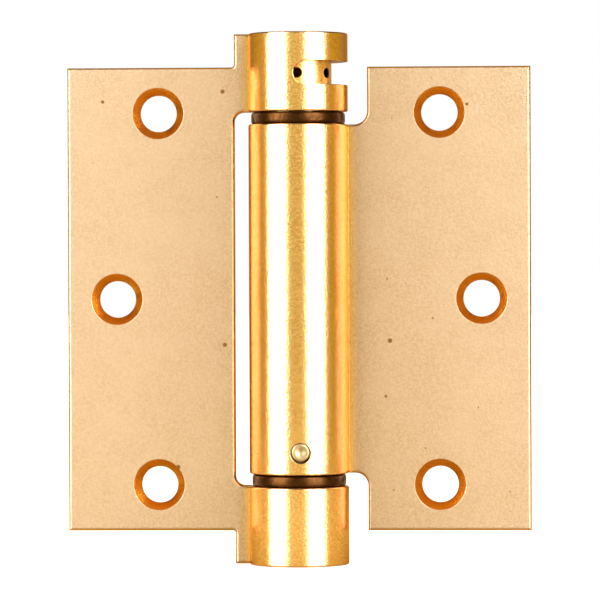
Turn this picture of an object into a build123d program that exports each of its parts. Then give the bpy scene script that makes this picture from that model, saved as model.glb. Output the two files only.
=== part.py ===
from build123d import *
import os
from math import atan2, cos, degrees, pi, radians, sin, sqrt, tan

os.makedirs("parts", exist_ok=True)

# Leaves: square-cornered plates seen from their countersunk side, which faces -Y.
leaf_height = 88.9
leaf_reach = 44.45
sheet = 3.0
leaf_setback = 0.8
front_edge_r = 0.7
back_edge = 0.35

# Barrel: the leaves' tabs curled round the pivot axis, which is Z.
barrel_d = 19.05
barrel_length = 101.6
end_knuckle = 15.0
bearing_gap = 2.4
bend_r = 1.5
seam_gap = 0.3

# Blank outlines beside the barrel.
frame_cutout_gap = 2.825
frame_cutout_r = 1.8
frame_neck_r = 0.5
door_notch_gap = 3.675
door_notch_r = 2.5

# Screw holes, countersunk on the front.
screw_hole_d = 7.0
screw_sink_d = 9.8
screw_sink_angle = 82.0
end_screw_x = 27.0
end_screw_inset = 8.8
mid_screw_x = 35.0

# Fits.
running_clearance = 0.075
press_clearance = 0.02
bearing_clearance = 0.1
tang_clearance = 0.1
end_play = 0.2

# Adjusting slot in the top knuckle. Angles run from the front, -Y, towards +X.
slot_height = 4.5
slot_inset = 7.7
slot_from = -3.0
slot_to = 160.0

# Pivot plugs.
plug_reach = 9.0
tang_slot_depth = 3.0
rod_hole_d = 2.0
rod_hole_floor_r = 2.45
rod_hole_count = 6
rod_hole_first = 1.0
plug_edge = 0.3

# Torsion spring, wound left-handed from square wire.
wire = 2.4
coil_clearance = 0.475
coil_turns = 17.5
coil_end_gap = 0.35
points_per_turn = 12
tang_width = 2.2

# Anchor pin, driven through the middle knuckle's front wall.
pin_d = 3.5
pin_inset = 4.4
pin_angle = 4.3
pin_proud = 0.25
pin_root_r = 2.2
pin_edge_r = 0.4
pin_dimple_d = 1.7
pin_dimple_depth = 0.25

# Bearings and end caps.
bearing_d = 18.0
bearing_edge = 0.25
cap_thickness = 2.0
cap_edge = 0.3

# Lengths that follow from the ones above.
barrel_r = barrel_d / 2
bore_r = barrel_r - sheet
half_barrel = barrel_length / 2
half_leaf = leaf_height / 2
end_knuckle_z = half_barrel - end_knuckle
half_middle = end_knuckle_z - bearing_gap
front_y = leaf_setback
back_y = leaf_setback + sheet
bend_y = back_y + bend_r
bend_x = sqrt((barrel_r + bend_r) ** 2 - bend_y**2)
tip_y = front_y - seam_gap
frame_cutout_x = barrel_r + frame_cutout_gap
door_notch_x = barrel_r + door_notch_gap
end_screw_z = half_leaf - end_screw_inset
screw_sink_depth = (screw_sink_d - screw_hole_d) / 2 / tan(radians(screw_sink_angle / 2))
slot_z = half_barrel - slot_inset
pin_z = pin_inset - half_middle
plug_r = bore_r - running_clearance
rod_hole_depth = plug_r - rod_hole_floor_r
plug_inner_z = half_middle - plug_reach
plug_outer_z = half_barrel - cap_thickness - end_play
bearing_t = bearing_gap - bearing_clearance
coil_r = bore_r - coil_clearance - wire / 2
coil_height = 2 * (plug_inner_z - coil_end_gap) - wire
tang_end_z = plug_inner_z + tang_slot_depth - coil_end_gap

front_plane = Plane(origin=(0, front_y, 0), x_dir=(1, 0, 0), z_dir=(0, -1, 0))


def span(z_low, z_high):
    # Plane and height of a piece that stands between two levels.
    return Pos(0, 0, z_low), z_high - z_low


def radial_plane(angle, z):
    # Plane on the axis whose normal points out of the barrel at an angle from the front.
    out = (sin(radians(angle)), -cos(radians(angle)), 0)
    along = (cos(radians(angle)), sin(radians(angle)), 0)
    return Plane(origin=(0, 0, z), x_dir=along, z_dir=out)


def near(value, target):
    return abs(value - target) < 1e-4


def curl_profile():
    # Section of the frame leaf's curl: bent off the leaf, round the back and over the front.
    root_angle = degrees(atan2(bend_y, -bend_x))
    bend_turn = root_angle - 90
    bore_tip = degrees(atan2(tip_y, -sqrt(bore_r**2 - tip_y**2)))
    outer_tip = degrees(atan2(tip_y, -sqrt(barrel_r**2 - tip_y**2)))
    bend = (-bend_x, bend_y)
    inner_bend = CenterArc(bend, bend_r + sheet, -90, bend_turn)
    bore = CenterArc((0, 0), bore_r, root_angle, bore_tip - root_angle - 360)
    tip = Line(bore @ 1, (-sqrt(barrel_r**2 - tip_y**2), tip_y))
    outside = CenterArc((0, 0), barrel_r, outer_tip, root_angle - outer_tip + 360)
    outer_bend = CenterArc(bend, bend_r, root_angle - 180, -bend_turn)
    root = Line(outer_bend @ 1, inner_bend @ 0)
    return make_face([inner_bend, bore, tip, outside, outer_bend, root])


def rectangle(x0, x1, z0, z1):
    return Pos((x0 + x1) / 2, (z0 + z1) / 2) * Rectangle(x1 - x0, z1 - z0)


def rounded(outline, x, z, radius):
    # Rounds the pair of corners that lie above and below the middle of a blank.
    corners = [v for v in outline.vertices() if near(v.X, x) and near(abs(v.Y), z)]
    return fillet(corners, radius)


def screw_holes(side):
    places = [
        (side * end_screw_x, end_screw_z),
        (side * mid_screw_x, 0),
        (side * end_screw_x, -end_screw_z),
    ]
    tools = []
    for x, z in places:
        tools.append(front_plane * Pos(x, z, -sheet / 2) * Cylinder(screw_hole_d / 2, 2 * sheet))
        sink = Cone(screw_hole_d / 2, screw_sink_d / 2, screw_sink_depth)
        tools.append(front_plane * Pos(x, z, -screw_sink_depth / 2) * sink)
    return tools


def cut_edges(leaf, face_y):
    # Edges of one flat face, without the screw holes and the lines where the bend starts.
    kept = []
    for edge in leaf.edges():
        ends = [edge @ 0, edge @ 0.5, edge @ 1]
        flat = all(near(p.Y, face_y) for p in ends)
        bend_line = all(near(abs(p.X), bend_x) for p in ends)
        if flat and not bend_line and not edge.is_closed:
            kept.append(edge)
    return kept


def outline_edges(leaf, neck_x):
    # Front edges round the plate's outside, up to the neck where it meets the barrel.
    kept = []
    for edge in cut_edges(leaf, front_y):
        middle = edge @ 0.5
        on_neck = near(abs(middle.X), neck_x) and abs(middle.Z) > half_leaf
        if on_neck or abs(middle.X) > neck_x + front_edge_r / 10:
            kept.append(edge)
    return kept


def leaf_body(blank, knuckles, side, neck_x):
    leaf = extrude(front_plane * blank, amount=-sheet)
    curl = curl_profile()
    if side > 0:
        curl = mirror(curl, about=Plane.YZ)
    for z_low, z_high in knuckles:
        place, height = span(z_low, z_high)
        leaf += extrude(place * curl, amount=height, dir=(0, 0, 1))
    leaf = leaf.clean()
    leaf = fillet(outline_edges(leaf, neck_x), front_edge_r)
    leaf = chamfer(cut_edges(leaf, back_y), back_edge)
    return leaf - screw_holes(side)


def frame_leaf():
    blank = rectangle(-leaf_reach, -frame_cutout_x, -half_leaf, half_leaf)
    blank += rectangle(-frame_cutout_x, -bend_x, end_knuckle_z, half_barrel)
    blank += rectangle(-frame_cutout_x, -bend_x, -half_barrel, -end_knuckle_z)
    blank = rounded(blank, -frame_cutout_x, half_leaf, frame_neck_r)
    blank = rounded(blank, -frame_cutout_x, end_knuckle_z, frame_cutout_r)
    knuckles = [(end_knuckle_z, half_barrel), (-half_barrel, -end_knuckle_z)]
    return leaf_body(blank, knuckles, -1, frame_cutout_x) - adjusting_slot()


def adjusting_slot():
    # Arc-shaped window through the wall, rounded at both ends.
    inside = bore_r - sheet / 2
    outside = barrel_r + sheet / 2
    end_r = slot_height / 2
    end_turn = degrees(end_r / barrel_r)
    first = slot_from + end_turn
    last = slot_to - end_turn
    on_axis = (Align.NONE, Align.NONE, Align.CENTER)
    window = Cylinder(outside, slot_height, arc_size=last - first, align=on_axis)
    window -= Cylinder(inside, 2 * slot_height)
    tool = Pos(0, 0, slot_z) * Rot(0, 0, first - 90) * window
    end = Pos(0, 0, (inside + outside) / 2) * Cylinder(end_r, outside - inside)
    for angle in (first, last):
        tool += radial_plane(angle, slot_z) * end
    return tool


def pin_hole(root_r, end_r):
    length = end_r - root_r
    drill = Cylinder(pin_d / 2 + press_clearance, length)
    return radial_plane(pin_angle, pin_z) * Pos(0, 0, root_r + length / 2) * drill


def door_leaf():
    blank = rectangle(door_notch_x, leaf_reach, -half_leaf, half_leaf)
    blank += rectangle(bend_x, door_notch_x, -half_middle, half_middle)
    blank = rounded(blank, door_notch_x, half_middle, door_notch_r)
    leaf = leaf_body(blank, [(-half_middle, half_middle)], 1, door_notch_x)
    return leaf - pin_hole(bore_r - sheet / 2, barrel_r + sheet / 2)


def plug(z_low, z_high):
    place, height = span(z_low, z_high)
    body = extrude(place * Circle(plug_r), amount=height)
    return chamfer(body.edges().filter_by(GeomType.CIRCLE), plug_edge)


def tang_slot(z_low, z_high):
    place, height = span(z_low, z_high)
    return extrude(place * Rectangle(2 * barrel_r, tang_width + 2 * tang_clearance), amount=height)


def tension_collar():
    collar = plug(plug_inner_z, plug_outer_z)
    collar -= tang_slot(plug_inner_z, plug_inner_z + tang_slot_depth)
    drill = Pos(0, 0, plug_r) * Cylinder(rod_hole_d / 2, 2 * rod_hole_depth)
    for i in range(rod_hole_count):
        collar -= radial_plane(rod_hole_first + i * 360 / rod_hole_count, slot_z) * drill
    return collar


def spring_anchor():
    anchor = plug(-plug_outer_z, -plug_inner_z)
    anchor -= tang_slot(-plug_inner_z - tang_slot_depth, -plug_inner_z)
    return anchor - pin_hole(pin_root_r - press_clearance, barrel_r)


def anchor_pin():
    length = barrel_r + pin_proud - pin_root_r
    pin = extrude(Circle(pin_d / 2), amount=length)
    pin = fillet(pin.edges().filter_by(GeomType.CIRCLE).sort_by(Axis.Z)[-1], pin_edge_r)
    dimple = Cone(pin_dimple_d / 4, pin_dimple_d / 2, pin_dimple_depth)
    pin -= Pos(0, 0, length - pin_dimple_depth / 2) * dimple
    return radial_plane(pin_angle, pin_z) * Pos(0, 0, pin_root_r) * pin


def coil_point(share):
    # Point on the wire's middle line, which stops short of each tang by the tang's lead-in.
    lead_in = atan2(wire / 2, coil_r)
    angle = lead_in + share * (2 * pi * coil_turns - 2 * lead_in)
    return coil_r * cos(angle), -coil_r * sin(angle), coil_height * (share - 0.5)


def torsion_spring():
    steps = round(coil_turns * points_per_turn)
    path = Spline([coil_point(i / steps) for i in range(steps + 1)])
    first = path @ 0
    start = Plane(origin=first, x_dir=(first.X, first.Y, 0), z_dir=path % 0)
    spring = sweep(start * Rectangle(wire, wire), path=path, is_frenet=True)
    for face in spring.faces().filter_by(GeomType.PLANE):
        spring += extrude(face, amount=wire / 2)
    tang_r = sqrt(coil_r**2 + (wire / 2) ** 2)
    tang_length = tang_end_z - coil_height / 2
    tang_z = coil_height / 2 + tang_length / 2
    tang = Box(tang_width, tang_width, tang_length)
    spring += Pos(tang_r, 0, -tang_z) * tang
    spring += Pos(-tang_r, 0, tang_z) * tang
    return spring


def bearing(z_low):
    place, height = span(z_low, z_low + bearing_t)
    ring = extrude(place * Circle(bearing_d / 2), amount=height)
    ring = chamfer(ring.edges().filter_by(GeomType.CIRCLE), bearing_edge)
    return ring - extrude(place * Circle(bore_r), amount=height)


def end_cap():
    cap = extrude(Circle(bore_r - press_clearance), amount=cap_thickness)
    cap = chamfer(cap.edges().filter_by(GeomType.CIRCLE).sort_by(Axis.Z)[-1], cap_edge)
    return Pos(0, 0, half_barrel - cap_thickness) * cap


pieces = {
    "frame_leaf": frame_leaf(),
    "door_leaf": door_leaf(),
    "tension_collar": tension_collar(),
    "spring_anchor": spring_anchor(),
    "torsion_spring": torsion_spring(),
    "anchor_pin": anchor_pin(),
    "upper_bearing": bearing(half_middle),
    "lower_bearing": bearing(-end_knuckle_z),
    "top_cap": end_cap(),
    "bottom_cap": mirror(end_cap(), about=Plane.XY),
}

for name, shape in pieces.items():
    export_step(shape, f"parts/{name}.step")
    print(name, round(shape.volume, 1), shape.is_valid, len(shape.solids()))

coil_length = sqrt((2 * pi * coil_r * coil_turns) ** 2 + coil_height**2)
print("coil length", round(coil_length, 1), "wire volume", round(coil_length * wire**2, 1))
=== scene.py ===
import math

import bmesh
import bpy
from mathutils import Matrix, Vector
from mathutils.geometry import delaunay_2d_cdt


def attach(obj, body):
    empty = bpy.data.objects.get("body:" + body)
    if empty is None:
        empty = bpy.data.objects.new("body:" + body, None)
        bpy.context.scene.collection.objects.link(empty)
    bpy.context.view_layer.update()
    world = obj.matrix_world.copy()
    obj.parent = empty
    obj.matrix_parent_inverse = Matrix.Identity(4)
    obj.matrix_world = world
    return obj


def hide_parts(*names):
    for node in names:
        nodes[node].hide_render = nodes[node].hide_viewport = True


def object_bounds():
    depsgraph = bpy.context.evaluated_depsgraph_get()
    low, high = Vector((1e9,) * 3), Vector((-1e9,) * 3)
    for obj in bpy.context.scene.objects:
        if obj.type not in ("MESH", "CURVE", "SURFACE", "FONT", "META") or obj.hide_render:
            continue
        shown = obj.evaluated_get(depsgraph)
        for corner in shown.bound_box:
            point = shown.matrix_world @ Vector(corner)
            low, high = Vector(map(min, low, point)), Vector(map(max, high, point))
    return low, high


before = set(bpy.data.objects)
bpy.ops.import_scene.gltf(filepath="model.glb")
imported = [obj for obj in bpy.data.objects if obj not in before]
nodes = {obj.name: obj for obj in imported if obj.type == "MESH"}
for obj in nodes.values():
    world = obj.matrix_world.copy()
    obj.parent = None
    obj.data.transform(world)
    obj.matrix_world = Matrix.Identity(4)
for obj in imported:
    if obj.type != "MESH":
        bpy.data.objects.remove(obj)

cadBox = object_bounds()
mm = 0.001
print("frame loaded:", ", ".join(sorted(nodes)))


# shader helpers
def newNode(tree, kind, **settings):
    node = tree.nodes.new(kind)
    for key, value in settings.items():
        setattr(node, key, value)
    return node


def setInputs(node, **values):
    for key, value in values.items():
        node.inputs[key.replace("_", " ")].default_value = value


def mathNode(tree, operation, first, second=None, clamp=False):
    node = newNode(tree, "ShaderNodeMath", operation=operation, use_clamp=clamp)
    for slot, value in enumerate((first, second)):
        if value is None:
            continue
        if isinstance(value, (int, float)):
            node.inputs[slot].default_value = value
        else:
            tree.links.new(value, node.inputs[slot])
    return node.outputs[0]


def mixColour(tree, factor, first, second, blend="MIX"):
    node = newNode(tree, "ShaderNodeMix", data_type="RGBA", blend_type=blend)
    for slot, value in ((0, factor), (6, first), (7, second)):
        if isinstance(value, (int, float, tuple)):
            node.inputs[slot].default_value = value
        else:
            tree.links.new(value, node.inputs[slot])
    return node.outputs[2]


def smoothStep(tree, value, low, high):
    node = newNode(tree, "ShaderNodeMapRange", interpolation_type="SMOOTHSTEP")
    tree.links.new(value, node.inputs["Value"])
    node.inputs["From Min"].default_value = low
    node.inputs["From Max"].default_value = high
    return node.outputs["Result"]


def groupTree(name, inputs, outputs):
    tree = bpy.data.node_groups.new(name, "ShaderNodeTree")
    for title, kind, value in inputs:
        socket = tree.interface.new_socket(title, in_out="INPUT", socket_type=kind)
        if value is not None:
            socket.default_value = value
    for title, kind in outputs:
        tree.interface.new_socket(title, in_out="OUTPUT", socket_type=kind)
    return tree, newNode(tree, "NodeGroupInput"), newNode(tree, "NodeGroupOutput")


# fine cloudy grain of the plating, with a height for bump
def makePlatingGrain():
    tree, entry, leave = groupTree(
        "platingGrain",
        [
            ("Vector", "NodeSocketVector", None),
            ("Grain Size", "NodeSocketFloat", 0.8),
            ("Cloud Size", "NodeSocketFloat", 9.0),
        ],
        [("Grain", "NodeSocketFloat"), ("Cloud", "NodeSocketFloat"), ("Height", "NodeSocketFloat")],
    )
    perMm = mathNode(tree, "DIVIDE", 1 / mm, entry.outputs["Grain Size"])
    fine = newNode(tree, "ShaderNodeTexNoise")
    setInputs(fine, Detail=3.0, Roughness=0.65)
    tree.links.new(entry.outputs["Vector"], fine.inputs["Vector"])
    tree.links.new(perMm, fine.inputs["Scale"])
    perCloud = mathNode(tree, "DIVIDE", 1 / mm, entry.outputs["Cloud Size"])
    cloud = newNode(tree, "ShaderNodeTexNoise")
    setInputs(cloud, Detail=4.0, Roughness=0.55, Distortion=0.3)
    tree.links.new(entry.outputs["Vector"], cloud.inputs["Vector"])
    tree.links.new(perCloud, cloud.inputs["Scale"])
    tree.links.new(smoothStep(tree, fine.outputs["Fac"], 0.32, 0.68), leave.inputs["Grain"])
    tree.links.new(smoothStep(tree, cloud.outputs["Fac"], 0.35, 0.65), leave.inputs["Cloud"])
    tree.links.new(mathNode(tree, "ADD", fine.outputs["Fac"], cloud.outputs["Fac"]), leave.inputs["Height"])
    return tree


# sparse dark specks, a few of the cells of a coarse pattern carry one
def makeSpecks():
    tree, entry, leave = groupTree(
        "specks",
        [
            ("Vector", "NodeSocketVector", None),
            ("Spacing", "NodeSocketFloat", 9.0),
            ("Size", "NodeSocketFloat", 0.05),
            ("Share", "NodeSocketFloat", 0.3),
        ],
        [("Speck", "NodeSocketFloat")],
    )
    scale = mathNode(tree, "DIVIDE", 1 / mm, entry.outputs["Spacing"])
    axes = newNode(tree, "ShaderNodeSeparateXYZ")
    tree.links.new(entry.outputs["Vector"], axes.inputs[0])
    flat = newNode(tree, "ShaderNodeCombineXYZ")
    tree.links.new(axes.outputs[0], flat.inputs[0])
    tree.links.new(axes.outputs[2], flat.inputs[1])
    cells = newNode(tree, "ShaderNodeTexVoronoi", feature="F1", voronoi_dimensions="2D")
    tree.links.new(flat.outputs[0], cells.inputs["Vector"])
    tree.links.new(scale, cells.inputs["Scale"])
    tone = newNode(tree, "ShaderNodeSeparateColor")
    tree.links.new(cells.outputs["Color"], tone.inputs["Color"])
    picked = mathNode(tree, "LESS_THAN", tone.outputs[0], entry.outputs["Share"])
    reach = mathNode(tree, "MULTIPLY", entry.outputs["Size"], tone.outputs[1])
    near = mathNode(tree, "LESS_THAN", cells.outputs["Distance"], reach)
    tree.links.new(mathNode(tree, "MULTIPLY", picked, near), leave.inputs["Speck"])
    return tree


platingGrain = makePlatingGrain()
specks = makeSpecks()
print("node groups built")


def useGroup(tree, group, vector, **values):
    node = newNode(tree, "ShaderNodeGroup", node_tree=group)
    tree.links.new(vector, node.inputs["Vector"])
    setInputs(node, **values)
    return node


def newMaterial(name):
    material = bpy.data.materials.new(name)
    material.use_nodes = True
    tree = material.node_tree
    shader = tree.nodes["Principled BSDF"]
    where = newNode(tree, "ShaderNodeTexCoord").outputs["Object"]
    return material, tree, shader, where


# brass plating on the leaves: duller on the flats than round the barrel; the flats' paler tone is painted
# light, the plating being one and the same
plating = {
    "flat": (0.54, 0.40, 0.295, 1),
    "flatDeep": (0.36, 0.245, 0.14, 1),
    "barrel": (0.93, 0.60, 0.33, 1),
    "barrelDeep": (0.62, 0.32, 0.07, 1),
    "grazing": (0.70, 0.46, 0.20, 1),
    # painted shade for the sheet's walls and countersinks
    "edge": (0.80, 0.40, 0.075, 1),
    "speck": (0.16, 0.07, 0.02, 1),
    "flatRough": 0.42,
    "barrelRough": 0.17,
    "barrelFrom": 9.3,
    "barrelTo": 11.5,
    # painted shade of the barrel on the flats beside it
    "barrelShade": 0.32,
    "barrelShadeFrom": 40.0,
    "barrelShadeTo": 8.0,
    "wallFrom": 0.85,
    "wallTo": 0.95,
    "wallEnd": 3.7,
    "grain": 0.45,
    "cloud": 7.0,
    "cloudShare": 0.2,
    "grainShare": 0.45,
    "roughVary": 0.05,
    "bump": 0.12,
    "bumpDepth": 0.1,
    "speckSpacing": 8.0,
    "speckSize": 0.055,
    "speckShare": 0.3,
}


def makePlating():
    material, tree, shader, where = newMaterial("leafPlating")
    place = newNode(tree, "ShaderNodeSeparateXYZ")
    tree.links.new(where, place.inputs[0])
    acrossSquare = mathNode(tree, "POWER", place.outputs[0], 2.0)
    depthSquare = mathNode(tree, "POWER", place.outputs[1], 2.0)
    radius = mathNode(tree, "SQRT", mathNode(tree, "ADD", acrossSquare, depthSquare))
    flatShare = smoothStep(tree, radius, plating["barrelFrom"] * mm, plating["barrelTo"] * mm)
    # walls and countersinks lie between the two faces of the sheet; their deeper gold is painted shade
    depth = smoothStep(tree, place.outputs[1], plating["wallFrom"] * mm, plating["wallTo"] * mm)
    beforeBack = mathNode(tree, "LESS_THAN", place.outputs[1], plating["wallEnd"] * mm)
    wallShare = mathNode(tree, "MULTIPLY", mathNode(tree, "MULTIPLY", depth, beforeBack), flatShare)
    faceShare = mathNode(tree, "SUBTRACT", flatShare, wallShare)
    grain = useGroup(tree, platingGrain, where, Grain_Size=plating["grain"], Cloud_Size=plating["cloud"])
    dots = useGroup(
        tree, specks, where,
        Spacing=plating["speckSpacing"], Size=plating["speckSize"], Share=plating["speckShare"],
    )
    patchy = mathNode(tree, "MULTIPLY_ADD", grain.outputs["Cloud"], plating["cloudShare"])
    patchy.node.inputs[2].default_value = plating["grainShare"]
    blotch = mathNode(tree, "MULTIPLY", grain.outputs["Grain"], patchy)
    # painted shade: the flats deepen a little towards the barrel, standing in for the barrel's shade and
    # reflection on them
    barrelShadeShare = smoothStep(tree, radius, plating["barrelShadeFrom"] * mm, plating["barrelShadeTo"] * mm)
    grainAndBarrelShade = mathNode(tree, "ADD", blotch, mathNode(tree, "MULTIPLY", barrelShadeShare, plating["barrelShade"]), clamp=True)
    flatTone = mixColour(tree, grainAndBarrelShade, plating["flat"], plating["flatDeep"])
    barrelTone = mixColour(tree, blotch, plating["barrel"], plating["barrelDeep"])
    # painted light: one plating in two tones, a darker, paler one on the flats that face the bright front
    # light and a richer one round the barrel
    tone = mixColour(tree, flatShare, barrelTone, flatTone)
    # painted shade: walls and countersinks take a deeper, richer gold, standing in for the shade and
    # inter-reflection inside these cuts
    tone = mixColour(tree, wallShare, tone, plating["edge"])
    spotted = mathNode(tree, "MULTIPLY", dots.outputs["Speck"], faceShare)
    tree.links.new(mixColour(tree, spotted, tone, plating["speck"]), shader.inputs["Base Color"])
    rough = newNode(tree, "ShaderNodeMapRange")
    tree.links.new(faceShare, rough.inputs["Value"])
    rough.inputs["To Min"].default_value = plating["barrelRough"]
    rough.inputs["To Max"].default_value = plating["flatRough"]
    varied = mathNode(tree, "MULTIPLY_ADD", grain.outputs["Grain"], plating["roughVary"])
    tree.links.new(rough.outputs["Result"], varied.node.inputs[2])
    tree.links.new(varied, shader.inputs["Roughness"])
    bump = newNode(tree, "ShaderNodeBump")
    setInputs(bump, Strength=plating["bump"], Distance=plating["bumpDepth"] * mm)
    tree.links.new(grain.outputs["Grain"], bump.inputs["Height"])
    tree.links.new(bump.outputs["Normal"], shader.inputs["Normal"])
    setInputs(shader, Metallic=1.0, Specular_Tint=plating["grazing"])
    return material


# smaller turned parts share one recipe with their own values
turned = {
    "collarPlating": {
        "light": (0.92, 0.60, 0.27, 1), "deep": (0.66, 0.36, 0.10, 1),
        "rough": 0.24, "grain": 0.5, "bump": 0.08, "shadeWithin": 6.2,
    },
    "pinSteel": {
        "light": (0.46, 0.36, 0.22, 1), "deep": (0.28, 0.20, 0.10, 1),
        "rough": 0.36, "grain": 0.35, "bump": 0.2,
    },
    "bearingBronze": {
        "light": (0.06, 0.024, 0.007, 1), "deep": (0.024, 0.009, 0.003, 1),
        "rough": 0.24, "grain": 0.7, "bump": 0.15,
    },
    "springSteel": {
        "light": (0.30, 0.27, 0.24, 1), "deep": (0.14, 0.11, 0.09, 1),
        "rough": 0.34, "grain": 0.8, "bump": 0.10,
    },
    "plugSteel": {
        "light": (0.42, 0.38, 0.33, 1), "deep": (0.24, 0.20, 0.16, 1),
        "rough": 0.38, "grain": 0.7, "bump": 0.12,
    },
}
# values that all of them share, with the painted shade inside the rod holes
turnedShared = {"cloud": 6.0, "roughVary": 0.12, "bumpDepth": 0.1, "holeShade": (0.03, 0.012, 0.004, 1)}


def makeTurned(name):
    look = turned[name]
    material, tree, shader, where = newMaterial(name)
    grain = useGroup(tree, platingGrain, where, Grain_Size=look["grain"], Cloud_Size=turnedShared["cloud"])
    blotch = mathNode(tree, "MULTIPLY", grain.outputs["Grain"], grain.outputs["Cloud"])
    tone = mixColour(tree, blotch, look["light"], look["deep"])
    # painted shade: the collar's deep rod holes are painted near black inside this radius
    if "shadeWithin" in look:
        flat = newNode(tree, "ShaderNodeVectorMath", operation="MULTIPLY")
        tree.links.new(where, flat.inputs[0])
        flat.inputs[1].default_value = (1, 1, 0)
        reach = newNode(tree, "ShaderNodeVectorMath", operation="LENGTH")
        tree.links.new(flat.outputs[0], reach.inputs[0])
        inside = mathNode(tree, "LESS_THAN", reach.outputs["Value"], look["shadeWithin"] * mm)
        tone = mixColour(tree, inside, tone, turnedShared["holeShade"])
    tree.links.new(tone, shader.inputs["Base Color"])
    rough = mathNode(tree, "MULTIPLY_ADD", grain.outputs["Grain"], turnedShared["roughVary"])
    rough.node.inputs[2].default_value = look["rough"]
    tree.links.new(rough, shader.inputs["Roughness"])
    bump = newNode(tree, "ShaderNodeBump")
    setInputs(bump, Strength=look["bump"], Distance=turnedShared["bumpDepth"] * mm)
    tree.links.new(grain.outputs["Height"], bump.inputs["Height"])
    tree.links.new(bump.outputs["Normal"], shader.inputs["Normal"])
    shader.inputs["Metallic"].default_value = 1.0
    return material


leafPlating = makePlating()
finishes = {name: makeTurned(name) for name in turned}
print("materials built")


# leaves: a flat blank with rolled edges, its tabs curled round the pivot (sizes in mm)
sheetMetal = {
    "reach": 44.45, "height": 88.9, "thick": 3.0, "setback": 0.8,
    "barrelRadius": 9.525, "barrelLength": 101.6, "endKnuckle": 15.0, "bearingGap": 2.4,
    "bendRadius": 1.5, "bendSteps": 10, "tipGap": 0.3,
    "frontRoll": 0.6, "backRoll": 0.35, "rollSteps": 5, "curlStep": 0.6, "rowStep": 2.4,
}
frameBlank = {"cutout": 12.35, "cutoutCorner": 1.8, "neckCorner": 0.5}
doorBlank = {"notch": 13.2, "notchCorner": 2.5}
screwHoles = {
    "endOut": 27.0, "endUp": 35.65, "midOut": 35.0, "radius": 3.5,
    "sinkRadius": 4.9, "sinkAngle": 82, "lip": 0.12, "backEase": 0.25,
}
adjustingSlot = {"level": 43.1, "height": 4.5, "fromTurn": -3.0, "toTurn": 160.0, "roll": 0.12}
pinHole = {"level": -29.0, "turn": 4.3, "radius": 1.95, "drop": 0.17, "roll": 0.12}

halfLeaf = sheetMetal["height"] / 2
halfBarrel = sheetMetal["barrelLength"] / 2
knuckleStart = halfBarrel - sheetMetal["endKnuckle"]
halfMiddle = knuckleStart - sheetMetal["bearingGap"]
boreRadius = sheetMetal["barrelRadius"] - sheetMetal["thick"]
bendY = sheetMetal["setback"] + sheetMetal["thick"] + sheetMetal["bendRadius"]
bendX = math.sqrt((sheetMetal["barrelRadius"] + sheetMetal["bendRadius"]) ** 2 - bendY**2)
rootTurn = math.atan2(bendY, -bendX)
bendTurn = rootTurn - math.pi / 2
bendStart = sheetMetal["reach"] - bendX
curlStart = bendStart + (sheetMetal["bendRadius"] + sheetMetal["thick"] / 2) * bendTurn
midRadius = boreRadius + sheetMetal["thick"] / 2
tipTurn = -math.pi - math.asin((sheetMetal["setback"] - sheetMetal["tipGap"]) / midRadius)
curlEnd = curlStart + sheetMetal["barrelRadius"] * (rootTurn - tipTurn)


# place of a blank point after bending, the way the sheet runs there and the way its front looks
def bentPlace(along, depth):
    if along <= bendStart:
        return (along - sheetMetal["reach"], sheetMetal["setback"] + depth), (1, 0), (0, -1)
    if along <= curlStart:
        turn = -math.pi / 2 + (along - bendStart) / (curlStart - bendStart) * bendTurn
        radius = sheetMetal["bendRadius"] + sheetMetal["thick"] - depth
        c, s = math.cos(turn), math.sin(turn)
        return (-bendX + radius * c, bendY + radius * s), (-s, c), (c, s)
    turn = rootTurn - (along - curlStart) / sheetMetal["barrelRadius"]
    c, s = math.cos(turn), math.sin(turn)
    return ((boreRadius + depth) * c, (boreRadius + depth) * s), (s, -c), (-c, -s)


def curlAlong(turnFromFront):
    return curlStart + sheetMetal["barrelRadius"] * (rootTurn - math.radians(turnFromFront - 90))


bendSteps = sheetMetal["bendSteps"]
curlColumns = [bendStart + (curlStart - bendStart) * i / bendSteps for i in range(bendSteps)]
curlCount = math.ceil((curlEnd - curlStart) / sheetMetal["curlStep"])
curlColumns += [curlStart + (curlEnd - curlStart) * i / curlCount for i in range(curlCount)]


# closed outline from corners (along, up, radius), with the metal on its left
def blankLoop(corners):
    points = []
    count = len(corners)
    for i, (x, y, radius) in enumerate(corners):
        here = Vector((x, y))
        back = (Vector(corners[i - 1][:2]) - here).normalized()
        ahead = (Vector(corners[(i + 1) % count][:2]) - here).normalized()
        if radius == 0:
            points.append((here, True))
            continue
        half = back.angle(ahead) / 2
        centre = here + (back + ahead).normalized() * (radius / math.sin(half))
        start = here + back * (radius / math.tan(half)) - centre
        sweep = math.pi - 2 * half
        if ahead.x * back.y - ahead.y * back.x < 0:
            sweep = -sweep
        steps = max(4, round(abs(sweep) / math.radians(12)))
        for k in range(steps + 1):
            t = sweep * k / steps
            c, s = math.cos(t), math.sin(t)
            points.append((centre + Vector((start.x * c - start.y * s, start.x * s + start.y * c)), False))
    full = []
    for i, (here, sharp) in enumerate(points):
        full.append((here, sharp))
        there = points[(i + 1) % len(points)][0]
        low, high = sorted((here.x, there.x))
        if high - low > 0.01:
            cuts = [c for c in curlColumns if low + 0.05 < c < high - 0.05]
            shares = sorted((c - here.x) / (there.x - here.x) for c in cuts)
        else:
            parts = max(1, round(abs(there.y - here.y) / sheetMetal["rowStep"])) if here.x > bendStart else 1
            shares = [k / parts for k in range(1, parts)]
        if (here - there).length > 1.0:
            full += [(here.lerp(there, share), False) for share in shares]
    return full


def circleLoop(along, up, radius, count):
    turns = [2 * math.pi * i / count for i in range(count)]
    return [(Vector((along + radius * math.sin(t), up + radius * math.cos(t))), False) for t in turns]


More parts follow.
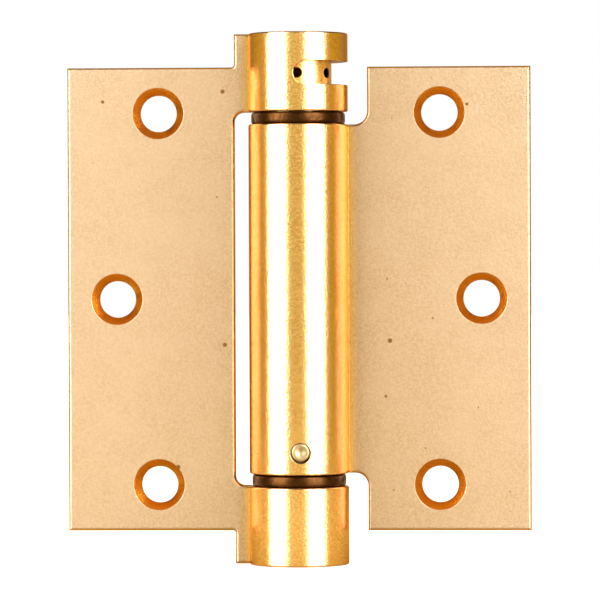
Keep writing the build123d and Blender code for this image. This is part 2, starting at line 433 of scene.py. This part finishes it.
# rounded wall: each ring is (inset, depth), each strip has the normals (outward, front) of its two rings
def rolledWall(front, back, steps):
    rings, facing = [], []
    for i in range(steps + 1):
        t = math.pi / 2 * i / steps
        rings.append((front * (1 - math.sin(t)), front * (1 - math.cos(t))))
        facing.append((math.sin(t), math.cos(t)))
    for i in range(steps + 1):
        t = math.pi / 2 * (1 + i / steps)
        rings.append((back * (1 - math.sin(t)), sheetMetal["thick"] - back * (1 + math.cos(t))))
        facing.append((math.sin(t), math.cos(t)))
    return rings, [(facing[i], facing[i + 1]) for i in range(len(facing) - 1)]


def screwWall():
    look = screwHoles
    half = math.radians(look["sinkAngle"] / 2)
    wide = look["sinkRadius"] - look["radius"]
    sink = wide / math.tan(half)
    cone = (math.cos(half), math.sin(half))
    ease = look["backEase"]
    rings = [
        (wide + look["lip"], 0), (wide, look["lip"] / 2), (0, sink + look["lip"] / 2),
        (0, sheetMetal["thick"] - ease), (ease, sheetMetal["thick"]),
    ]
    return rings, [((0, 1), cone), (cone, cone), ((1, 0), (1, 0)), ((0.7, -0.7), (0.7, -0.7))]


def insideLoop(point, loop):
    hit = False
    for i, a in enumerate(loop):
        b = loop[i - 1]
        if (a.y > point.y) != (b.y > point.y) and point.x < a.x + (point.y - a.y) / (b.y - a.y) * (b.x - a.x):
            hit = not hit
    return hit


def near(spot, loop, gap):
    points = [p for p, sharp in loop]
    return min((p - spot).length for p in points) < gap or insideLoop(spot, points)


def leafMesh(name, outline, holes, knuckles, mirrored):
    verts, alongOf, faces, normals = [], [], [], []
    flip = -1 if mirrored else 1

    def addVert(flat, depth):
        (x, y), run, front = bentPlace(flat.x, depth)
        verts.append((flip * x * mm, y * mm, flat.y * mm))
        alongOf.append(flat.x)
        return len(verts) - 1

    def facing(vert, out, outShare, frontShare):
        place, run, front = bentPlace(alongOf[vert], 0)
        x = out.x * run[0] * outShare + front[0] * frontShare
        y = out.x * run[1] * outShare + front[1] * frontShare
        return Vector((flip * x, y, out.y * outShare)).normalized()

    def addFace(corners, looks):
        if mirrored:
            corners, looks = corners[::-1], looks[::-1]
        faces.append(corners)
        normals.extend(looks)

    edges, frontFlat, backFlat, frontIds, backIds = [], [], [], [], []
    edgeWall = rolledWall(sheetMetal["frontRoll"], sheetMetal["backRoll"], sheetMetal["rollSteps"])
    loops = [(outline, edgeWall)] + holes
    faceLoops = []
    for loop, (rings, strips) in loops:
        count = len(loop)
        left, mitre = [], []
        for i in range(count):
            step = (loop[(i + 1) % count][0] - loop[i][0]).normalized()
            left.append(Vector((-step.y, step.x)))
        for i in range(count):
            both = left[i - 1] + left[i]
            mitre.append(both / (1 + left[i - 1].dot(left[i])))
        ids = [
            [addVert(loop[i][0] + mitre[i] * inset, depth) for i in range(count)]
            for inset, depth in rings
        ]
        for k, (first, last) in enumerate(strips):
            for i in range(count):
                j = (i + 1) % count
                outI = -left[i] if loop[i][1] else -(left[i - 1] + left[i]).normalized()
                outJ = -left[i] if loop[j][1] else -(left[i] + left[j]).normalized()
                corners = [ids[k][i], ids[k + 1][i], ids[k + 1][j], ids[k][j]]
                addFace(corners, [
                    facing(corners[0], outI, *first), facing(corners[1], outI, *last),
                    facing(corners[2], outJ, *last), facing(corners[3], outJ, *first),
                ])
        base = len(frontFlat)
        frontFlat += [loop[i][0] + mitre[i] * rings[0][0] for i in range(count)]
        backFlat += [loop[i][0] + mitre[i] * rings[-1][0] for i in range(count)]
        frontIds += ids[0]
        backIds += ids[-1]
        edges += [(base + i, base + (i + 1) % count) for i in range(count)]
        faceLoops.append(range(base, base + count))

    # inner points keep the curled part in narrow rows
    widest = [(loop, max(r[0] for r in rings) + 0.35) for loop, (rings, strips) in holes]
    for low, high in knuckles:
        rows = max(2, round((high - low - 2.4) / sheetMetal["rowStep"]))
        for column in curlColumns:
            if column > curlEnd - 1.2:
                continue
            chain = []
            for r in range(rows + 1):
                spot = Vector((column, low + 1.2 + (high - low - 2.4) * r / rows))
                if any(near(spot, loop, gap) for loop, gap in widest):
                    continue
                chain.append(len(frontFlat))
                frontFlat.append(spot)
                backFlat.append(spot)
                frontIds.append(addVert(spot, 0))
                backIds.append(addVert(spot, sheetMetal["thick"]))
            if column == bendStart:
                edges += list(zip(chain, chain[1:]))

    none = Vector((0, 0))
    for flat, ids, look in ((frontFlat, frontIds, 1), (backFlat, backIds, -1)):
        spots, links, triangles, origins, o1, o2 = delaunay_2d_cdt(flat, edges, [], 0, 1e-7)
        shape = [[flat[i] for i in loop] for loop in faceLoops]
        for triangle in triangles:
            a, b, c = (spots[v] for v in triangle)
            middle = (a + b + c) / 3
            if not insideLoop(middle, shape[0]) or any(insideLoop(middle, hole) for hole in shape[1:]):
                continue
            corners = [ids[origins[v][0]] for v in triangle]
            if ((b - a).cross(c - a) > 0) != (look > 0):
                corners.reverse()
            addFace(corners, [facing(v, none, 0, look) for v in corners])
    mesh = bpy.data.meshes.new(name)
    mesh.from_pydata(verts, [], faces)
    mesh.polygons.foreach_set("use_smooth", [True] * len(faces))
    mesh.normals_split_custom_set(normals)
    return mesh


def screwLoops():
    look = screwHoles
    spots = ((look["endOut"], look["endUp"]), (look["midOut"], 0), (look["endOut"], -look["endUp"]))
    reach = sheetMetal["reach"]
    return [(circleLoop(reach - out, up, look["radius"], 72), screwWall()) for out, up in spots]


def frameLeafMesh():
    cut = sheetMetal["reach"] - frameBlank["cutout"]
    inner, neck = frameBlank["cutoutCorner"], frameBlank["neckCorner"]
    outline = blankLoop([
        (0, -halfLeaf, 0), (cut, -halfLeaf, neck), (cut, -halfBarrel, 0), (curlEnd, -halfBarrel, 0),
        (curlEnd, -knuckleStart, 0), (cut, -knuckleStart, inner), (cut, knuckleStart, inner),
        (curlEnd, knuckleStart, 0), (curlEnd, halfBarrel, 0), (cut, halfBarrel, 0),
        (cut, halfLeaf, neck), (0, halfLeaf, 0),
    ])
    slot = adjustingSlot
    first, last = curlAlong(slot["toTurn"]), curlAlong(slot["fromTurn"])
    low, high = slot["level"] - slot["height"] / 2, slot["level"] + slot["height"] / 2
    end = slot["height"] / 2 - 0.001
    window = blankLoop([(first, low, end), (first, high, end), (last, high, end), (last, low, end)])
    holes = screwLoops() + [(window, rolledWall(slot["roll"], slot["roll"], 3))]
    knuckles = [(knuckleStart, halfBarrel), (-halfBarrel, -knuckleStart)]
    return leafMesh("frame_leaf_dressed", outline, holes, knuckles, False)


def doorLeafMesh():
    cut = sheetMetal["reach"] - doorBlank["notch"]
    inner = doorBlank["notchCorner"]
    outline = blankLoop([
        (0, -halfLeaf, 0), (cut, -halfLeaf, 0), (cut, -halfMiddle, inner), (curlEnd, -halfMiddle, 0),
        (curlEnd, halfMiddle, 0), (cut, halfMiddle, inner), (cut, halfLeaf, 0), (0, halfLeaf, 0),
    ])
    level = pinHole["level"] - pinHole["drop"]
    ring = circleLoop(curlAlong(-pinHole["turn"]), level, pinHole["radius"], 32)
    holes = screwLoops() + [(ring, rolledWall(pinHole["roll"], pinHole["roll"], 2))]
    return leafMesh("door_leaf_dressed", outline, holes, [(-halfMiddle, halfMiddle)], True)


def addPiece(mesh, nodeName, body, finish):
    mesh.materials.clear()
    mesh.materials.append(finish)
    piece = bpy.data.objects.new(nodeName + "_dressed", mesh)
    bpy.context.collection.objects.link(piece)
    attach(piece, body)
    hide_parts(nodeName)
    return piece


addPiece(frameLeafMesh(), "frame_leaf", "frame", leafPlating)
addPiece(doorLeafMesh(), "door_leaf", "door", leafPlating)
print("leaves curled")


# turned pieces from their half sections (radius, level), rounded corners in between
def roundedSection(corners, radius, steps):
    points = []
    count = len(corners)
    for i, corner in enumerate(corners):
        here = Vector(corner)
        back = (Vector(corners[i - 1]) - here).normalized()
        ahead = (Vector(corners[(i + 1) % count]) - here).normalized()
        if here.x < 1e-6 or radius == 0:
            points.append(here)
            continue
        for k in range(steps + 1):
            t = k / steps
            points.append(here + back * radius * (1 - t) ** 2 + ahead * radius * t**2)
    return points


def turnedMesh(name, section, count, closed):
    verts, faces, rings = [], [], []
    for point in section:
        if point.x < 1e-6:
            rings.append([len(verts)] * count)
            verts.append((0, 0, point.y * mm))
            continue
        rings.append(list(range(len(verts), len(verts) + count)))
        for i in range(count):
            turn = 2 * math.pi * i / count
            verts.append((point.x * math.cos(turn) * mm, point.x * math.sin(turn) * mm, point.y * mm))
    pairs = list(zip(rings, rings[1:] + rings[:1])) if closed else list(zip(rings, rings[1:]))
    for low, high in pairs:
        for i in range(count):
            j = (i + 1) % count
            corners = [low[i], low[j], high[j], high[i]]
            faces.append([c for k, c in enumerate(corners) if c not in corners[:k]])
    mesh = bpy.data.meshes.new(name)
    mesh.from_pydata(verts, [], [f for f in faces if len(f) > 2])
    mesh.polygons.foreach_set("use_smooth", [True] * len(mesh.polygons))
    mesh.set_sharp_from_angle(angle=math.radians(32))
    return mesh


bearing = {"radius": 9.0, "thick": 2.3, "edge": 0.65}
cap = {"radius": 6.5, "thick": 2.0, "edge": 0.3}
pin = {"radius": 1.75, "root": 2.2, "head": 9.775, "edge": 0.4, "dimple": 0.85, "dimpleDepth": 0.25}


def bearingMesh(name, low):
    high = low + bearing["thick"]
    outer = bearing["radius"]
    corners = [(boreRadius, low), (outer, low), (outer, high), (boreRadius, high)]
    return turnedMesh(name, roundedSection(corners, bearing["edge"], 4), 96, True)


def capMesh(name, side):
    outer = side * halfBarrel
    inner = outer - side * cap["thick"]
    radius, edge = cap["radius"], cap["edge"]
    section = [Vector((0, inner)), Vector((radius, inner)), Vector((radius, outer - side * edge))]
    for t in (0.35, 0.7, 1.0):
        section.append(Vector((radius - edge * t * t, outer - side * edge * (1 - t) ** 2)))
    section.append(Vector((0, outer)))
    return turnedMesh(name, section if side > 0 else section[::-1], 96, False)


def pinMesh(name):
    edge = pin["edge"]
    section = [Vector((0, pin["root"])), Vector((pin["radius"], pin["root"]))]
    for i in range(6):
        t = math.pi / 2 * i / 5
        reach = pin["radius"] - edge * (1 - math.cos(t))
        section.append(Vector((reach, pin["head"] - edge * (1 - math.sin(t)))))
    dimple, floor = pin["dimple"], pin["head"] - pin["dimpleDepth"]
    section += [Vector((dimple, pin["head"])), Vector((dimple * 0.5, floor)), Vector((0, floor))]
    mesh = turnedMesh(name, section, 48, False)
    turn = math.radians(pinHole["turn"])
    out = Vector((math.sin(turn), -math.cos(turn), 0))
    side = Vector((math.cos(turn), math.sin(turn), 0))
    up = out.cross(side)
    lift = Matrix.Translation((0, 0, pinHole["level"] * mm))
    mesh.transform(lift @ Matrix((side, up, out)).transposed().to_4x4())
    return mesh


bronze = finishes["bearingBronze"]
upperBearing = bearingMesh("upper_bearing_dressed", halfMiddle)
lowerBearing = bearingMesh("lower_bearing_dressed", -knuckleStart)
addPiece(upperBearing, "upper_bearing", "door", bronze)
addPiece(lowerBearing, "lower_bearing", "frame", bronze)
addPiece(capMesh("top_cap_dressed", 1), "top_cap", "frame", leafPlating)
addPiece(capMesh("bottom_cap_dressed", -1), "bottom_cap", "frame", leafPlating)
addPiece(pinMesh("anchor_pin_dressed"), "anchor_pin", "door", finishes["pinSteel"])
print("turned pieces made")


# plugs keep their solid's mesh, with the round wall shaded as a true cylinder
def plugMesh(nodeName):
    mesh = nodes[nodeName].data.copy()
    work = bmesh.new()
    work.from_mesh(mesh)
    bmesh.ops.remove_doubles(work, verts=work.verts, dist=0.002 * mm)
    work.to_mesh(mesh)
    work.free()
    mesh.polygons.foreach_set("use_smooth", [True] * len(mesh.polygons))
    looks = [None] * len(mesh.loops)
    for face in mesh.polygons:
        for i in face.loop_indices:
            spot = mesh.vertices[mesh.loops[i].vertex_index].co
            outward = Vector((spot.x, spot.y, 0)).normalized()
            looks[i] = outward if face.normal.dot(outward) > 0.97 else face.normal.copy()
    mesh.normals_split_custom_set(looks)
    return mesh


collarMesh, anchorMesh = plugMesh("tension_collar"), plugMesh("spring_anchor")
addPiece(collarMesh, "tension_collar", "collar", finishes["collarPlating"])
addPiece(anchorMesh, "spring_anchor", "door", finishes["plugSteel"])
print("plugs made")


# torsion spring, wire swept along a spiral by a node tree
springCoil = {
    "Radius": 4.85 * mm,
    "Wire": 2.4 * mm,
    "Corner": 0.25 * mm,
    "Turns": 17.42,
    "Height": 45.7 * mm,
    "Start Turn": math.radians(-13.9),
}


def springTree():
    tree = bpy.data.node_groups.new("coiledWire", "GeometryNodeTree")
    for title in springCoil:
        tree.interface.new_socket(title, in_out="INPUT", socket_type="NodeSocketFloat")
    tree.interface.new_socket("Finish", in_out="INPUT", socket_type="NodeSocketMaterial")
    tree.interface.new_socket("Geometry", in_out="OUTPUT", socket_type="NodeSocketGeometry")
    entry = newNode(tree, "NodeGroupInput")
    leave = newNode(tree, "NodeGroupOutput")
    link = tree.links.new
    spiral = newNode(tree, "GeometryNodeCurveSpiral")
    spiral.inputs["Resolution"].default_value = 40
    spiral.inputs["Reverse"].default_value = True
    link(entry.outputs["Turns"], spiral.inputs["Rotations"])
    link(entry.outputs["Radius"], spiral.inputs["Start Radius"])
    link(entry.outputs["Radius"], spiral.inputs["End Radius"])
    link(entry.outputs["Height"], spiral.inputs["Height"])
    upright = newNode(tree, "GeometryNodeSetCurveNormal", mode="Z_UP")
    link(spiral.outputs[0], upright.inputs["Curve"])
    square = newNode(tree, "GeometryNodeCurvePrimitiveQuadrilateral")
    link(entry.outputs["Wire"], square.inputs["Width"])
    link(entry.outputs["Wire"], square.inputs["Height"])
    rounded = newNode(tree, "GeometryNodeFilletCurve", mode="POLY")
    rounded.inputs["Count"].default_value = 2
    link(square.outputs[0], rounded.inputs["Curve"])
    link(entry.outputs["Corner"], rounded.inputs["Radius"])
    sweep = newNode(tree, "GeometryNodeCurveToMesh")
    sweep.inputs["Fill Caps"].default_value = True
    link(upright.outputs[0], sweep.inputs["Curve"])
    link(rounded.outputs[0], sweep.inputs["Profile Curve"])
    lift = newNode(tree, "ShaderNodeMath", operation="MULTIPLY")
    lift.inputs[1].default_value = -0.5
    link(entry.outputs["Height"], lift.inputs[0])
    centre = newNode(tree, "ShaderNodeCombineXYZ")
    link(lift.outputs[0], centre.inputs["Z"])
    turn = newNode(tree, "ShaderNodeCombineXYZ")
    link(entry.outputs["Start Turn"], turn.inputs["Z"])
    place = newNode(tree, "GeometryNodeTransform")
    link(sweep.outputs[0], place.inputs["Geometry"])
    link(centre.outputs[0], place.inputs["Translation"])
    link(turn.outputs[0], place.inputs["Rotation"])
    smooth = newNode(tree, "GeometryNodeSetShadeSmooth")
    link(place.outputs[0], smooth.inputs["Geometry"])
    real = newNode(tree, "GeometryNodeRealizeInstances")
    link(smooth.outputs[0], real.inputs[0])
    paint = newNode(tree, "GeometryNodeSetMaterial")
    link(real.outputs[0], paint.inputs["Geometry"])
    link(entry.outputs["Finish"], paint.inputs["Material"])
    link(paint.outputs[0], leave.inputs[0])
    return tree


def bakeTree(name, tree, values):
    holder = bpy.data.objects.new(name + "Holder", bpy.data.meshes.new(name + "Holder"))
    bpy.context.collection.objects.link(holder)
    modifier = holder.modifiers.new(name, "NODES")
    modifier.node_group = tree
    for item in tree.interface.items_tree:
        if item.in_out == "INPUT" and item.name in values:
            modifier[item.identifier] = values[item.name]
    graph = bpy.context.evaluated_depsgraph_get()
    mesh = bpy.data.meshes.new_from_object(holder.evaluated_get(graph))
    mesh.name = name
    bpy.data.objects.remove(holder)
    return mesh


coilMesh = bakeTree("coiledWire", springTree(), {**springCoil, "Finish": finishes["springSteel"]})
addPiece(coilMesh, "torsion_spring", "door", finishes["springSteel"])
print("spring wound:", len(coilMesh.polygons), "faces")


# floor, light and camera
studio = {
    "floorSize": 6.0,
    "floorTone": (0.20, 0.15, 0.06, 1),
    "floorSeen": (0.97, 0.97, 0.97, 1),
    "floorGlowNear": (0.80, 0.62, 0.26, 1),
    "floorGlowFar": (0.02, 0.015, 0.005, 1),
    "floorGlowFoot": (0.25, 0.17, 0.04, 1),
    "footTo": (0.03, 0.11),
    "nearTo": (0.12, 0.34),
    "front": (0.90, 0.80, 0.27, 1),
    "sides": (0.66, 0.45, 0.010, 1),
    "back": (0.50, 0.36, 0.15, 1),
    "behind": (0.75, 0.68, 0.50, 1),
    "above": (0.06, 0.035, 0.012, 1),
    "overhead": (0.60, 0.48, 0.26, 1),
    "frontSpan": (-0.55, -0.97),
    "backSpan": (0.20, 0.70),
    "behindSpan": (0.86, 0.97),
    "aboveSpan": (0.15, 0.70),
    "overheadSpan": (0.80, 0.90),
    "lampLevel": 0.02,
    "left": {"turn": -48.5, "width": 0.55, "height": 1.6, "away": 0.80, "watts": 31},
    "right": {"turn": 43, "width": 0.54, "height": 1.6, "away": 0.80, "watts": 30},
}


def makeFloor():
    work = bmesh.new()
    bmesh.ops.create_grid(work, x_segments=1, y_segments=1, size=studio["floorSize"] / 2)
    mesh = bpy.data.meshes.new("floor")
    work.to_mesh(mesh)
    work.free()
    for corner in mesh.vertices:
        corner.co.z = cadBox[0][2]
    floor = bpy.data.objects.new("floor", mesh)
    bpy.context.collection.objects.link(floor)
    material, tree, shader, where = newMaterial("palePaper")
    shader.inputs["Base Color"].default_value = studio["floorTone"]
    shader.inputs["Roughness"].default_value = 0.2
    shader.inputs["Emission Strength"].default_value = 1.0
    # painted light: to all but the camera the floor is dark warm gold and glows warm gold round the hinge,
    # dimmer right under it, brightest a little way out and dark far off; the camera sees it plain white
    distance = newNode(tree, "ShaderNodeVectorMath", operation="LENGTH")
    tree.links.new(where, distance.inputs[0])
    fromFoot = smoothStep(tree, distance.outputs["Value"], *studio["footTo"])
    toFar = smoothStep(tree, distance.outputs["Value"], *studio["nearTo"])
    glow = mixColour(tree, fromFoot, studio["floorGlowFoot"], studio["floorGlowNear"])
    glow = mixColour(tree, toFar, glow, studio["floorGlowFar"])
    seen = newNode(tree, "ShaderNodeLightPath").outputs["Is Camera Ray"]
    tree.links.new(mixColour(tree, seen, glow, studio["floorSeen"]), shader.inputs["Emission Color"])
    mesh.materials.append(material)


def softBox(name, look):
    data = bpy.data.lights.new(name, "AREA")
    data.shape = "RECTANGLE"
    data.size = look["width"]
    data.size_y = look["height"]
    data.energy = look["watts"]
    lamp = bpy.data.objects.new(name, data)
    bpy.context.collection.objects.link(lamp)
    turn = math.radians(look["turn"])
    lamp.location = (math.sin(turn) * look["away"], -math.cos(turn) * look["away"], studio["lampLevel"])
    lamp.rotation_euler = (-Vector(lamp.location)).to_track_quat("-Z", "Y").to_euler()
    return lamp


def makeWorld():
    world = bpy.data.worlds.new("studioRoom")
    bpy.context.scene.world = world
    world.use_nodes = True
    tree = world.node_tree
    tree.nodes.clear()
    leave = newNode(tree, "ShaderNodeOutputWorld")
    ray = newNode(tree, "ShaderNodeLightPath")
    white = newNode(tree, "ShaderNodeBackground")
    white.inputs["Color"].default_value = (1, 1, 1, 1)
    room = newNode(tree, "ShaderNodeBackground")
    where = newNode(tree, "ShaderNodeTexCoord")
    split = newNode(tree, "ShaderNodeSeparateXYZ")
    tree.links.new(where.outputs["Generated"], split.inputs[0])
    toFront = smoothStep(tree, split.outputs["Y"], *studio["frontSpan"])
    toBack = smoothStep(tree, split.outputs["Y"], *studio["backSpan"])
    behind = smoothStep(tree, split.outputs["Y"], *studio["behindSpan"])
    level = mixColour(tree, toFront, studio["sides"], studio["front"])
    level = mixColour(tree, toBack, level, studio["back"])
    level = mixColour(tree, behind, level, studio["behind"])
    ceiling = smoothStep(tree, split.outputs["Z"], *studio["aboveSpan"])
    overhead = smoothStep(tree, split.outputs["Z"], *studio["overheadSpan"])
    level = mixColour(tree, ceiling, level, studio["above"])
    level = mixColour(tree, overhead, level, studio["overhead"])
    tree.links.new(level, room.inputs["Color"])
    choose = newNode(tree, "ShaderNodeMixShader")
    tree.links.new(ray.outputs["Is Camera Ray"], choose.inputs[0])
    tree.links.new(room.outputs[0], choose.inputs[1])
    tree.links.new(white.outputs[0], choose.inputs[2])
    tree.links.new(choose.outputs[0], leave.inputs["Surface"])


view = {"place": (40.2 * mm, -800 * mm, 9.4 * mm), "yaw": 2.86, "pitch": -0.687, "roll": 0.22, "lens": 250.9}


def makeCamera():
    data = bpy.data.cameras.new("photoCamera")
    data.lens = view["lens"]
    data.sensor_width = 36
    data.clip_start = 0.01
    camera = bpy.data.objects.new("photoCamera", data)
    bpy.context.collection.objects.link(camera)
    turn = (
        Matrix.Rotation(math.radians(view["yaw"]), 4, "Z")
        @ Matrix.Rotation(math.radians(view["pitch"]), 4, "X")
        @ Matrix.Rotation(math.radians(view["roll"]), 4, "Y")
    )
    camera.matrix_world = Matrix.Translation(view["place"]) @ turn @ Matrix.Rotation(math.radians(90), 4, "X")
    bpy.context.scene.camera = camera


makeFloor()
for side in ("left", "right"):
    softBox(side + "SoftBox", studio[side])
makeWorld()
makeCamera()
bpy.context.scene.view_settings.view_transform = "Standard"
print("studio set")
